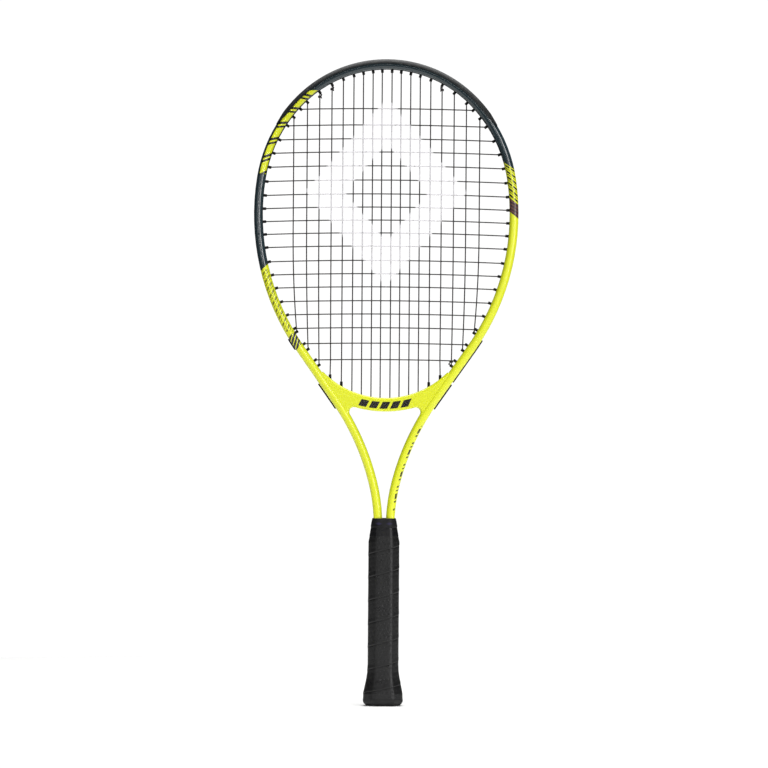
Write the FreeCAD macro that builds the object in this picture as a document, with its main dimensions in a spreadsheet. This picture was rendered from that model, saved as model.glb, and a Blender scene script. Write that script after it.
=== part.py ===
import FreeCAD, Part
import math
import os
import Sketcher
from FreeCAD import Placement, Rotation, Vector

# A full-size tennis racket: one bent, hollow, grooved aluminium tube with a moulded throat yoke,
# plastic bumper guard and grommet strips, a woven string bed tied off with four knots, and a
# moulded handle with butt cap, wrapped grip, finishing tape and rubber collar.
# Frame: +Z runs from the butt to the tip, X across the face, Y through the face.
# Origin: centre of the butt's underside.

os.makedirs("parts", exist_ok=True)
doc = FreeCAD.newDocument("TennisRacket")
sheet = doc.addObject("Spreadsheet::Sheet", "dims")

DIMENSIONS = {
    "overall_length": 685.8,
    # frame tube, its section and the bends of its centreline from the tip down
    "tube_width": 9.2,
    "tube_depth": 22.0,
    "tube_corner": 4.4,
    "tube_wall": 0.9,
    "groove_width": 5.2,
    "groove_depth": 2.6,
    "crown_radius": 128.5,
    "crown_turn": 45.6,
    "upper_radius": 149.6,
    "upper_turn": 35.6,
    "flank_radius": 248.3,
    "shoulder_lean": 35.0,
    "throat_radius": 265.7,
    "throat_turn": 20.4,
    "leg_radius": 190.1,
    "leg_offset": 6.4,
    "leg_end": 20.0,
    # moulded yoke
    "yoke_top": 326.5,
    "yoke_bottom": 312.0,
    "yoke_lower_radius": 115.0,
    "yoke_corner": 5.0,
    "yoke_depth": 20.0,
    "yoke_wing": 66.0,
    # strips that line the string groove
    "guard_wall": 1.3,
    "guard_taper": 14.0,
    "guard_wrap": 3.4,
    "strip_base": 0.7,
    "channel_width": 3.4,
    "pad_width": 8.8,
    "pad_height": 1.3,
    "shoulder_pad_height": 1.5,
    "barrel_radius": 1.5,
    "barrel_reach": 3.6,
    "bore_radius": 0.75,
    "hole_stagger": 0.9,
    # string bed
    "string_radius": 0.65,
    "weave_height": 0.7,
    "cross_bow": 2.2,
    "main_fan": 4.2,
    # handle
    "grip_width": 33.0,
    "grip_depth": 30.0,
    "grip_bevel": 7.5,
    "grip_wall": 2.0,
    "butt_flare": 9.5,
    "cap_floor": 6.0,
    "grip_shoulder": 174.0,
    "grip_top": 189.0,
    "collar_top": 199.0,
    "flare_bevel": 1.8,
    "leg_cover": 0.7,
    "leg_bevel": 4.0,
    "tape_bottom": 180.0,
    "tape_thickness": 0.3,
    "collar_fit": 0.05,
    "badge_radius": 12.0,
    "badge_thickness": 1.2,
}

# String positions measured from the racket's centreline and butt, one value per string.
MAIN_OFFSETS = (5.2, 14.9, 25.1, 35.2, 46.4, 58.4, 71.4, 84.4, 98.7)
CROSS_HEIGHTS = (633.6, 616.3, 601.6, 587.6, 572.9, 557.8, 543.1, 529.1, 515.3, 501.7,
                 487.7, 472.5, 458.4, 444.4, 429.7, 415.6, 401.0, 384.6, 367.2)
THROAT_MAINS = 3        # mains a side that pass straight down through the yoke
WING_MAINS = 6          # mains 4 to 6 turn inside the yoke's wing and leave through the tube
MAIN_KNOT = 5           # both ends of the main string tie off at the sixth main's top hole
CROSS_START_KNOT = 6    # the cross string starts at the seventh main's top hole on the left
CROSS_END_KNOT = 6      # and ends at the seventh main's lower hole on the right
MAINS = len(MAIN_OFFSETS)
CROSSES = len(CROSS_HEIGHTS)

# How far the handle flares towards the butt: height and share of the full flare.
FLARE = ((7, 1.0), (13, 0.97), (20, 0.67), (28, 0.32), (36, 0.08), (44, 0.0))

# The butt cap's rounded rim: height and share of the full flare, less than none at the flat foot.
BUTT_RIM = ((0, -0.21), (1.0, 0.32), (2.2, 0.66), (3.7, 0.87), (5.2, 0.98), (7, 1.0))

# The collar's outside: height above the top of the grip and growth over the tube legs.
COLLAR_FORM = ((0, 3.0), (1.5, 3.2), (9.0, 1.8), (10.0, 1.4))

CAP_STAPLE_DEPTH = 17.2  # from the mid plane to a cap staple's crown
CAP_STAPLE_HEIGHT = 13.0
TACK_PLACE = Vector(18.9, 0, 14)
CAP_STAPLE = (9.0, 6.0)  # crown and leg of a staple
GRIP_TACK = (5.0, 4.0)
STAPLE_WIRE = 0.45       # radius
BEYOND_HANDLE = 30.0     # clear of the handle on every side
BEVEL_SHRINK = 2 - math.sqrt(2)  # an octagon's bevels shrink by this share of an inset
BARREL_PLAY = 0.05       # between a barrel and its hole
BARREL_LIP = 0.4         # rounding of a barrel's mouth

UP = Vector(0, 0, 1)
ACROSS_FACE = Vector(0, 1, 0)


def fill_sheet():
    for row, (alias, value) in enumerate(DIMENSIONS.items(), start=1):
        sheet.set(f"A{row}", alias)
        sheet.set(f"B{row}", str(value))
        sheet.setAlias(f"B{row}", alias)
    doc.recompute()


def dim(alias):
    return float(getattr(sheet, alias))


fill_sheet()
HALF_WIDTH = dim("tube_width") / 2
GROOVE_FLOOR = HALF_WIDTH - dim("groove_depth")
CHANNEL_FLOOR = GROOVE_FLOOR + dim("strip_base")
STRING = dim("string_radius")
STAGGER = dim("hole_stagger")
BARREL_ROOT = GROOVE_FLOOR + dim("strip_base") / 2
BARREL_TIP = -(HALF_WIDTH + dim("barrel_reach"))
STRING_BEND = -(HALF_WIDTH + 1.8)           # where a string turns, inside its barrel
LOOP_LEVEL = CHANNEL_FLOOR + STRING + 0.25  # a loop's centreline in the channel
TAIL_LEVEL = LOOP_LEVEL + 1.3               # a tail that runs over other loops
GROMMET_BEND = 0.95                         # a string's bend as it leaves a bore for the channel
MOUTH_BEND = 1.6
WEAVE_BEND = 6.0
EDGE_CROSSING = 6.0                         # a crossing this near the frame isn't woven


# ---------------------------------------------------------------- the tube's centreline

def rotate(vector, degrees):
    """Turn a vector clockwise as seen from the front."""
    return Rotation(ACROSS_FACE, degrees).multVec(vector)


def build_centreline():
    """Right half of the centreline as (length, start, heading, turn per mm), tip first."""
    point = Vector(0, 0, dim("overall_length") - dim("guard_wall") - HALF_WIDTH)
    heading = 0.0
    segments = []

    def add(length, turn):
        nonlocal point, heading
        rate = turn / length
        segments.append((length, point, heading, rate))
        point, heading = follow(segments[-1], length)

    def add_arc(radius, turn):
        add(math.radians(abs(turn)) * radius, turn)

    lean = dim("shoulder_lean")
    crown_turn = dim("crown_turn")
    upper_turn = dim("upper_turn")
    add_arc(dim("crown_radius"), crown_turn)
    add_arc(dim("upper_radius"), upper_turn)
    add_arc(dim("flank_radius"), 90 + lean - crown_turn - upper_turn)
    last_lean = lean - dim("throat_turn")
    cos_lean = math.cos(math.radians(lean))
    cos_last = math.cos(math.radians(last_lean))
    throat_shift = dim("throat_radius") * (cos_last - cos_lean)
    leg_shift = dim("leg_radius") * (1 - cos_last)
    straight_shift = point.x - dim("leg_offset") - throat_shift - leg_shift
    add(straight_shift / math.sin(math.radians(lean)), 0.0)
    add_arc(dim("throat_radius"), -dim("throat_turn"))
    add_arc(dim("leg_radius"), -last_lean)
    add(point.z - dim("leg_end"), 0.0)
    return segments


def follow(segment, distance):
    """Point and heading (degrees clockwise from +X) after a distance along one segment."""
    length, start, heading, rate = segment
    direction = rotate(Vector(1, 0, 0), heading)
    if rate == 0:
        return start + direction * distance, heading
    radius = 1 / math.radians(rate)
    centre = start + rotate(direction, 90) * radius
    turned = rate * distance
    return centre + rotate(start - centre, turned), heading + turned


CENTRELINE = build_centreline()
STARTS = [sum(segment[0] for segment in CENTRELINE[:i]) for i in range(len(CENTRELINE))]
HALF_LENGTH = STARTS[-1] + CENTRELINE[-1][0]
WIDEST = STARTS[2] + (90 - dim("crown_turn") - dim("upper_turn")) / CENTRELINE[2][3]
SHOULDER_END = STARTS[4]


def locate(station):
    """Point on the centreline, outward normal and travel direction at a distance from the tip."""
    index = max(i for i, start in enumerate(STARTS) if start <= max(station, 0.0))
    point, heading = follow(CENTRELINE[index], station - STARTS[index])
    travel = rotate(Vector(1, 0, 0), heading)
    return point, rotate(travel, -90), travel


def at(station, level, y=0.0):
    """Point at a level outward of the centreline, negative inward."""
    point, normal, travel = locate(station)
    return point + normal * level + ACROSS_FACE * y


def bisect(function, low, high):
    low_sign = function(low) > 0
    for step in range(60):
        middle = (low + high) / 2
        if (function(middle) > 0) == low_sign:
            low = middle
        else:
            high = middle
    return (low + high) / 2


# ---------------------------------------------------------------- sections and sweeps

def rounded_rectangle(low_u, high_u, half_v, radius):
    """Face in the section plane: u along X is outward, v along Y is through the face."""
    corner = radius * (1 - math.sqrt(0.5))
    edges = []
    for sign_u, sign_v in ((1, 1), (-1, 1), (-1, -1), (1, -1)):
        edge_u = high_u if sign_u > 0 else low_u
        first = Vector(edge_u, sign_v * (half_v - radius), 0)
        middle = Vector(edge_u - sign_u * corner, sign_v * (half_v - corner), 0)
        last = Vector(edge_u - sign_u * radius, sign_v * half_v, 0)
        points = (first, middle, last) if sign_u == sign_v else (last, middle, first)
        edges.append(Part.Arc(*points).toShape())
    wire = []
    for edge, following in zip(edges, edges[1:] + edges[:1]):
        wire.append(edge)
        wire.append(Part.LineSegment(edge.lastVertex().Point, following.firstVertex().Point).toShape())
    return Part.Face(Part.Wire(Part.__sortEdges__(wire)))


def block(low_u, high_u, low_v, high_v):
    corners = (Vector(low_u, low_v, 0), Vector(high_u, low_v, 0),
               Vector(high_u, high_v, 0), Vector(low_u, high_v, 0), Vector(low_u, low_v, 0))
    return Part.Face(Part.makePolygon(corners))


def sweep(section, first, last):
    """Solid of a section carried along the right half of the centreline between two stations."""
    pieces = []
    for start, segment in zip(STARTS, CENTRELINE):
        length, origin, heading, rate = segment
        begin = max(first - start, 0.0)
        end = min(last - start, length)
        if end - begin < 1e-6:
            continue
        point, heading = follow(segment, begin)
        for face in section.Faces:
            placed = face.copy()
            placed.Placement = Placement(point, Rotation(ACROSS_FACE, heading - 90))
            travel = rotate(Vector(1, 0, 0), heading)
            if rate == 0:
                pieces.append(placed.extrude(travel * (end - begin)))
                continue
            centre = point + rotate(travel, 90) * (1 / math.radians(rate))
            axis = ACROSS_FACE if rate > 0 else ACROSS_FACE * -1
            pieces.append(placed.revolve(centre, axis, abs(rate) * (end - begin)))
    return fuse(pieces)


def fuse(pieces):
    if len(pieces) == 1:
        return pieces[0]
    return pieces[0].multiFuse(pieces[1:]).removeSplitter()


def both_sides(shape):
    """The shape and its mirror image across the racket's centreline, as one solid."""
    return fuse([shape, mirror(shape)])


def mirror(shape):
    return shape.mirror(Vector(0, 0, 0), Vector(1, 0, 0))


def turned(shape):
    """The shape turned half a turn about the long axis, which maps the string bed onto itself."""
    copy = shape.copy()
    copy.rotate(Vector(0, 0, 0), UP, 180)
    return copy


def envelope_section(growth=0.0):
    half_depth = dim("tube_depth") / 2 + growth
    return rounded_rectangle(-HALF_WIDTH - growth, HALF_WIDTH + growth, half_depth,
                             dim("tube_corner") + growth)


def tube_section():
    wall = dim("tube_wall")
    half_groove = dim("groove_width") / 2
    cavity = envelope_section(-wall)
    cavity = cavity.cut(block(GROOVE_FLOOR - wall, HALF_WIDTH, -half_groove - wall, half_groove + wall))
    groove = block(GROOVE_FLOOR, HALF_WIDTH + 1, -half_groove, half_groove)
    return envelope_section().cut(groove).cut(cavity)


def channel_cut():
    half_channel = dim("channel_width") / 2
    return block(CHANNEL_FLOOR, HALF_WIDTH + 5, -half_channel, half_channel)


def strip_section():
    half_groove = dim("groove_width") / 2
    return block(GROOVE_FLOOR, HALF_WIDTH, -half_groove, half_groove).cut(channel_cut())


def pad_section(height):
    """Raised flange on both sides of the channel, proud of the tube."""
    half_pad = dim("pad_width") / 2
    return block(HALF_WIDTH, HALF_WIDTH + height, -half_pad, half_pad).cut(channel_cut())


def guard_section():
    wall = dim("guard_wall")
    half_groove = dim("groove_width") / 2
    wrap = envelope_section(wall)
    wrap = wrap.common(block(HALF_WIDTH - dim("guard_wrap"), HALF_WIDTH + 5, -20, 20))
    wrap = wrap.cut(envelope_section())
    core = block(GROOVE_FLOOR, HALF_WIDTH + wall, -half_groove, half_groove)
    return wrap.fuse(core).removeSplitter().cut(channel_cut())


# ---------------------------------------------------------------- pipes along a bent route

BEND_SHARE = 0.45                           # of a run between corners that one bend may take up


def pipe(route, radius):
    """Round bar along (point, bend radius) corners: exact cylinders joined by torus stretches."""
    points = [corner[0] for corner in route]
    faces = []
    direction = (points[1] - points[0]).normalize()
    here = points[0]
    rim = Part.Edge(Part.Circle(here, direction, radius))
    faces.append(Part.Face(Part.Wire(rim)))
    length = 0.0
    for index in range(1, len(points)):
        corner = points[index]
        after = corner
        bend = 0.0
        if index < len(points) - 1:
            leaving = (points[index + 1] - corner).normalize()
            bend = direction.getAngle(leaving)
            before_run = (corner - points[index - 1]).Length
            after_run = (points[index + 1] - corner).Length
            tangent = route[index][1] * math.tan(bend / 2)
            tangent = min(tangent, BEND_SHARE * before_run, BEND_SHARE * after_run)
            after = corner - direction * tangent
        if bend < 1e-4:
            after = corner
        faces.append(rim.extrude(after - here))
        length += (after - here).Length
        rim = rim.copy()
        rim.translate(after - here)
        here = after
        if bend >= 1e-4:
            axis = direction.cross(leaving).normalize()
            inward = axis.cross(direction)
            bend_radius = tangent / math.tan(bend / 2)
            length += bend_radius * bend
            centre = here + inward * bend_radius
            faces.append(rim.revolve(centre, axis, math.degrees(bend)))
            rim = rim.copy()
            rim.rotate(centre, axis, math.degrees(bend))
            here = corner + leaving * tangent
            direction = leaving
    faces.append(Part.Face(Part.Wire(rim)))
    shell = Part.Shell(faces)
    shell.sewShape()
    solid = Part.Solid(shell)
    if solid.Volume < 0:
        solid.reverse()
    expected = math.pi * radius ** 2 * length
    if abs(solid.Volume - expected) > 0.01 * expected:
        raise RuntimeError(f"a pipe holds {solid.Volume:.1f} where {expected:.1f} was meant")
    return solid


def rod(start, end, radius):
    return Part.makeCylinder(radius, (end - start).Length, start, end - start)


def capsule(start, end, radius):
    ends = [Part.makeSphere(radius, start), Part.makeSphere(radius, end)]
    return rod(start, end, radius).multiFuse(ends).removeSplitter()


# ---------------------------------------------------------------- string layout

def main_x(index, z):
    """Mains lean in a little towards the throat, the outer ones most."""
    offset = MAIN_OFFSETS[index]
    share = (offset / MAIN_OFFSETS[-1]) ** 6
    drop = max(500 - z, 0) / 100
    return offset - dim("main_fan") * share * drop ** 2


def cross_z(index, x):
    """Crosses bow: their ends lie lower than their middle."""
    return CROSS_HEIGHTS[index] - dim("cross_bow") * (x / 120) ** 2


def crossing(main, cross):
    z = CROSS_HEIGHTS[cross]
    for step in range(4):
        x = main_x(main, z)
        z = cross_z(cross, x)
    return x, z


def yoke_top_radius():
    """Radius of the yoke's upper edge, an arc tangent to the inner faces of both shoulders."""
    face = at(STARTS[3] + CENTRELINE[3][0] / 2, -HALF_WIDTH)
    lean = math.radians(dim("shoulder_lean"))
    rise = face.z - dim("yoke_top")
    return (face.x * math.cos(lean) - rise * math.sin(lean)) / (1 - math.sin(lean))


YOKE_RIM = 2.4                              # rounding of the yoke's long edges
YOKE_RADIUS = yoke_top_radius()
YOKE_CENTRE = dim("yoke_top") + YOKE_RADIUS
LOWER_RADIUS = dim("yoke_lower_radius")
LOWER_CENTRE = dim("yoke_bottom") + LOWER_RADIUS


def yoke_edge(x, sunk=0.0):
    """Height of the yoke's upper edge at x, or of a line sunk below it."""
    return YOKE_CENTRE - math.sqrt((YOKE_RADIUS + sunk) ** 2 - x ** 2)


def yoke_channel(x, level):
    """Height at x of an arc at a level outward of the yoke's lower face, negative into it."""
    return LOWER_CENTRE - math.sqrt((LOWER_RADIUS + level) ** 2 - x ** 2)


def top_station(main):
    return bisect(lambda s: at(s, STRING_BEND).x - main_x(main, at(s, STRING_BEND).z), 0.0, WIDEST)


def bottom_station(main):
    """Station of a main's lower hole, for the mains that leave through the tube."""
    if main < WING_MAINS:
        turn_point = Vector(MAIN_OFFSETS[main], 0, yoke_edge(MAIN_OFFSETS[main], sunk=2.0))
        return bisect(lambda s: locate(s)[2].dot(turn_point - locate(s)[0]), WIDEST, SHOULDER_END + 40)
    return bisect(lambda s: at(s, STRING_BEND).x - main_x(main, at(s, STRING_BEND).z),
                  WIDEST, SHOULDER_END)


def cross_station(cross):
    return bisect(lambda s: at(s, STRING_BEND).z - cross_z(cross, at(s, STRING_BEND).x),
                  1.0, SHOULDER_END)


TOP = [top_station(main) for main in range(MAINS)]
BOTTOM = [None] * THROAT_MAINS + [bottom_station(main) for main in range(THROAT_MAINS, MAINS)]
CROSS = [cross_station(cross) for cross in range(CROSSES)]
STRING_END = BARREL_TIP - 0.6               # where a tied-off string stops
WING_SLEEVES = {3: 1.9, 4: 7.0, 5: 6.5}     # how far a wing barrel runs up from its turn


def main_turn(main, y=STAGGER):
    """Where a main that leaves through the tube turns, at its lower end, on the right."""
    if main < WING_MAINS:
        x = MAIN_OFFSETS[main]
        return Vector(x, y, yoke_edge(x, sunk=2.0))
    return at(BOTTOM[main], STRING_BEND, y)


def wing_mouth(main):
    """Where a wing main's string leaves its barrel."""
    return (main_turn(main) + UP * (WING_SLEEVES[main] + 0.8), WEAVE_BEND)


def main_crossings(main):
    """Corners of a right-hand main at the crosses it meets, from the top down."""
    top = at(TOP[main], STRING_BEND).z
    if main < THROAT_MAINS:
        bottom = yoke_edge(MAIN_OFFSETS[main])
    else:
        bottom = main_turn(main).z
    corners = []
    for cross in range(CROSSES):
        x, z = crossing(main, cross)
        if bottom + 1.0 < z < top - 1.0:
            corners.append((Vector(x, weave(main, cross), z), WEAVE_BEND))
    return corners


def weave(main, cross):
    """Side of the bed on which a right-hand main passes a cross; by the frame it keeps its own side."""
    x, z = crossing(main, cross)
    ends = [at(TOP[main], STRING_BEND), at(CROSS[cross], STRING_BEND)]
    if main >= THROAT_MAINS:
        ends.append(main_turn(main, 0.0))
    near_frame = min((end - Vector(x, 0, z)).Length for end in ends) < EDGE_CROSSING
    over = near_frame or (main + cross) % 2 == 1
    return dim("weave_height") * (1 if over else -1)


def loop(stations, y, level=LOOP_LEVEL):
    """Corners of a string in the channel, from a hole over any stations between to another hole."""
    corners = [(at(stations[0], level, y), GROMMET_BEND)]
    for first, second in zip(stations, stations[1:]):
        corners.append((at((first + second) / 2, level, y), WEAVE_BEND))
        bend = GROMMET_BEND if second == stations[-1] else WEAVE_BEND
        corners.append((at(second, level, y), bend))
    return corners


def throat_corner(main):
    x = MAIN_OFFSETS[main]
    return (Vector(x, STAGGER, yoke_channel(x, LOOP_LEVEL - HALF_WIDTH)), GROMMET_BEND)


def throat_mouth(main):
    x = MAIN_OFFSETS[main]
    return (Vector(x, STAGGER, yoke_edge(x) + 0.8), WEAVE_BEND)


def right_mains():
    """Route of the right half of the main string, from the throat to its tie-off at the top."""
    route = [throat_corner(0), throat_mouth(0)]
    for main in range(MAINS):
        going_up = main % 2 == 0
        corners = main_crossings(main)
        top = (at(TOP[main], STRING_BEND, STAGGER), MOUTH_BEND)
        route += corners[::-1] + [top] if going_up else [top] + corners
        if going_up and main + 1 < MAINS:
            route += loop([TOP[main], TOP[main + 1]], STAGGER)
        elif not going_up:
            route += lower_loop(main)
    return route + main_tail()


def lower_loop(main):
    """From the lower end of one main to the lower end of the next, on the right."""
    following = main + 1
    if following < THROAT_MAINS:
        middle = (MAIN_OFFSETS[main] + MAIN_OFFSETS[following]) / 2
        rest = (Vector(middle, STAGGER, yoke_channel(middle, LOOP_LEVEL - HALF_WIDTH)), WEAVE_BEND)
        return [throat_mouth(main), throat_corner(main), rest,
                throat_corner(following), throat_mouth(following)]
    stations = [BOTTOM[main], BOTTOM[following]]
    return lower_end(main) + loop(stations, STAGGER) + lower_end(following)[::-1]


def lower_end(main):
    """Corners of a main at its barrel below, from the bed outward."""
    corners = [(main_turn(main), MOUTH_BEND)]
    return [wing_mouth(main)] + corners if main < WING_MAINS else corners


def main_tail():
    """From the outermost main's top hole over the other loops to the knot at the sixth main."""
    corners = [(at(TOP[MAINS - 1], TAIL_LEVEL, STAGGER), GROMMET_BEND)]
    for station in (CROSS[0], TOP[7], TOP[6]):
        corners.append((at(station, TAIL_LEVEL), WEAVE_BEND))
    corners.append((at(TOP[MAIN_KNOT], TAIL_LEVEL, -STAGGER), GROMMET_BEND))
    corners.append((at(TOP[MAIN_KNOT], STRING_END, -STAGGER), 0.0))
    return corners


def cross_tail():
    """From the last cross's hole, over a short loop, to the knot at the seventh main."""
    end_station = BOTTOM[CROSS_END_KNOT]
    end = (at(end_station, STRING_END, -STAGGER), 0.0)
    return loop([CROSS[CROSSES - 1], end_station], -STAGGER) + [end]


def half_turn(route):
    return [(Vector(-point.x, -point.y, point.z), bend) for point, bend in route]


def cross_corners(cross):
    """Corners of one cross between its two turns, from right to left."""
    corners = []
    for main in reversed(range(MAINS)):
        if crosses_main(main, cross):
            x, z = crossing(main, cross)
            corners.append((Vector(x, -weave(main, cross), z), WEAVE_BEND))
    left = [(Vector(-point.x, -point.y, point.z), bend) for point, bend in reversed(corners)]
    right_end = (at(CROSS[cross], STRING_BEND, -STAGGER), MOUTH_BEND)
    left_end = half_turn([right_end])[0]
    return [right_end] + corners + left + [left_end]


def crosses_main(main, cross):
    height = crossing(main, cross)[1]
    return any(abs(point.z - height) < 1e-6 for point, bend in main_crossings(main))


def cross_route():
    """One string: starts at a knot at the top left, ends at a knot at the lower right."""
    start_station = TOP[CROSS_START_KNOT]
    start = loop([start_station, TOP[CROSS_START_KNOT + 1], CROSS[0]], -STAGGER)
    route = half_turn([(at(start_station, STRING_END, -STAGGER), 0.0)] + start)
    for cross in range(CROSSES):
        rightward = cross % 2 == 0
        corners = cross_corners(cross)
        route += corners[::-1] if rightward else corners
        if cross + 1 < CROSSES:
            turn = loop([CROSS[cross], CROSS[cross + 1]], -STAGGER)
            route += turn if rightward else half_turn(turn)
    return route + cross_tail()


# ---------------------------------------------------------------- holes and barrels

def straight_barrel(station, y, onward):
    """Barrel and bore of one hole square to the tube, as a pair of solids on the right.

    The bore turns inside the barrel and follows the string's next corners, or runs straight out."""
    tip = at(station, BARREL_TIP, y)
    outer = rod(at(station, BARREL_ROOT, y), tip, dim("barrel_radius"))
    tip_edge = min(outer.Edges, key=lambda edge: (edge.CenterOfMass - tip).Length)
    outer = outer.makeFillet(BARREL_LIP, [tip_edge])
    route = [(at(station, HALF_WIDTH, y), 0.0), (at(station, STRING_BEND, y), MOUTH_BEND)]
    route += onward or [(at(station, BARREL_TIP - 1, y), 0.0)]
    return outer, pipe(route, dim("bore_radius"))


def wing_barrel(main):
    """Barrel that turns inside the yoke's wing and stands up along its string."""
    turn_point = main_turn(main)
    foot = at(BOTTOM[main], BARREL_ROOT, STAGGER)
    above = turn_point + UP * WING_SLEEVES[main]
    route = [(foot, 0.0), (turn_point, MOUTH_BEND), (above, 0.0)]
    bore_route = [(at(BOTTOM[main], HALF_WIDTH + 1, STAGGER), 0.0), (turn_point, MOUTH_BEND),
                  (above + UP * 2, 0.0)]
    return pipe(route, dim("barrel_radius")), pipe(bore_route, dim("bore_radius"))


def wing_hole(main):
    """Hole in yoke and tube for a wing barrel."""
    turn_point = main_turn(main)
    route = [(at(BOTTOM[main], HALF_WIDTH + 1, STAGGER), 0.0), (turn_point, MOUTH_BEND),
             (turn_point + UP * (WING_SLEEVES[main] + 4), 0.0)]
    return pipe(route, dim("barrel_radius") + BARREL_PLAY)


def straight_holes(side):
    """(station, y, its string's next corners) of every straight hole on one side, tie-offs last."""
    holes = [(TOP[main], STAGGER, main_crossings(main)[:2]) for main in range(MAINS)]
    holes += [(BOTTOM[main], STAGGER, main_crossings(main)[:-3:-1]) for main in range(WING_MAINS, MAINS)]
    holes += [(CROSS[cross], -STAGGER, cross_corners(cross)[1:3]) for cross in range(CROSSES)]
    holes.append((TOP[MAIN_KNOT], -STAGGER, []))
    cross_knot = BOTTOM[CROSS_END_KNOT] if side == "right" else TOP[CROSS_START_KNOT]
    holes.append((cross_knot, -STAGGER, []))
    return holes


def lined(section_solid, holes, wing_mains=()):
    """A strip with its barrels added and its bores drilled."""
    barrels = [straight_barrel(*hole) for hole in holes]
    barrels += [wing_barrel(main) for main in wing_mains]
    solid = fuse([section_solid] + [barrel[0] for barrel in barrels])
    return solid.cut(Part.Compound([barrel[1] for barrel in barrels]))


GUARD_END = CROSS[1] + 5.0
TAPER_TIP = 0.35                            # what is left of the guard's thickness at its end
STRIP_GAP = 0.3                             # between the ends of neighbouring strips
SHOULDER_MARGIN = 4.0                       # of the shoulder grommet beyond its holes
SHOULDER_FIRST = BOTTOM[WING_MAINS - 1] - SHOULDER_MARGIN
SHOULDER_LAST = BOTTOM[THROAT_MAINS] + SHOULDER_MARGIN
PAD_FIRST = 371.0                           # station where each strip's raised flange begins
PAD_LAST = {"right": SHOULDER_FIRST - 3.0, "left": PAD_FIRST + 13.0}


# ---------------------------------------------------------------- pieces of the frame

def add_feature(label, shape):
    feature = doc.addObject("Part::Feature", label)
    feature.Label = label
    feature.Shape = shape
    return feature


def make_frame_tube():
    half = sweep(tube_section(), 0.0, HALF_LENGTH)
    drill_radius = dim("barrel_radius") + BARREL_PLAY
    drills = []
    for side in ("right", "left"):
        for station, y, onward in straight_holes(side):
            drill = rod(at(station, HALF_WIDTH + 1, y), at(station, -HALF_WIDTH - 1, y), drill_radius)
            drills.append(drill if side == "right" else turned(drill))
    for main in range(THROAT_MAINS, WING_MAINS):
        drill = wing_hole(main)
        drills += [drill, turned(drill)]
    return add_feature("frame_tube", both_sides(half).cut(Part.Compound(drills)))


def across_face(corners, low_y, high_y):
    """Solid with a four-cornered outline in the racket's plane, from one y to another."""
    face = Part.Face(Part.makePolygon([point + ACROSS_FACE * low_y for point in corners + corners[:1]]))
    return face.extrude(ACROSS_FACE * (high_y - low_y))


def guard_tapers():
    """What is cut off the guard's end, so that it thins out on to the tube's side and faces."""
    first = GUARD_END - dim("guard_taper")
    last = GUARD_END + 1.0
    edge = HALF_WIDTH - dim("guard_wrap")
    side = [at(first, HALF_WIDTH + dim("guard_wall")), at(last, HALF_WIDTH + TAPER_TIP),
            at(last, HALF_WIDTH + 4), at(first, HALF_WIDTH + 4)]
    face = [at(first, edge - 0.05), at(last, HALF_WIDTH - TAPER_TIP), at(last, edge - 2), at(first, edge - 2)]
    half_groove = dim("groove_width") / 2
    beyond = dim("tube_depth")
    return [across_face(side, -beyond, beyond), across_face(face, half_groove, beyond),
            across_face(face, -beyond, -half_groove)]


def make_bumper_guard():
    side = sweep(guard_section(), 0.0, GUARD_END).cut(Part.Compound(guard_tapers()))
    pieces = []
    for name in ("right", "left"):
        holes = [hole for hole in straight_holes(name) if hole[0] < GUARD_END]
        half = lined(side, holes)
        pieces.append(half if name == "right" else turned(half))
    return add_feature("bumper_guard", fuse(pieces))


def make_grommet_strip(side):
    first = GUARD_END + STRIP_GAP
    last = SHOULDER_FIRST - STRIP_GAP
    base = sweep(strip_section(), first, last)
    pad = sweep(pad_section(dim("pad_height")), PAD_FIRST, PAD_LAST[side])
    holes = [hole for hole in straight_holes(side) if first < hole[0] < last]
    solid = lined(fuse([base, pad]), holes)
    return add_feature(f"grommet_strip_{side}", solid if side == "right" else turned(solid))


def make_shoulder_grommet(side):
    base = sweep(strip_section(), SHOULDER_FIRST, SHOULDER_LAST)
    pad = sweep(pad_section(dim("shoulder_pad_height")), SHOULDER_FIRST, SHOULDER_LAST)
    solid = lined(fuse([base, pad]), [], range(THROAT_MAINS, WING_MAINS))
    return add_feature(f"shoulder_grommet_{side}", solid if side == "right" else turned(solid))


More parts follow.
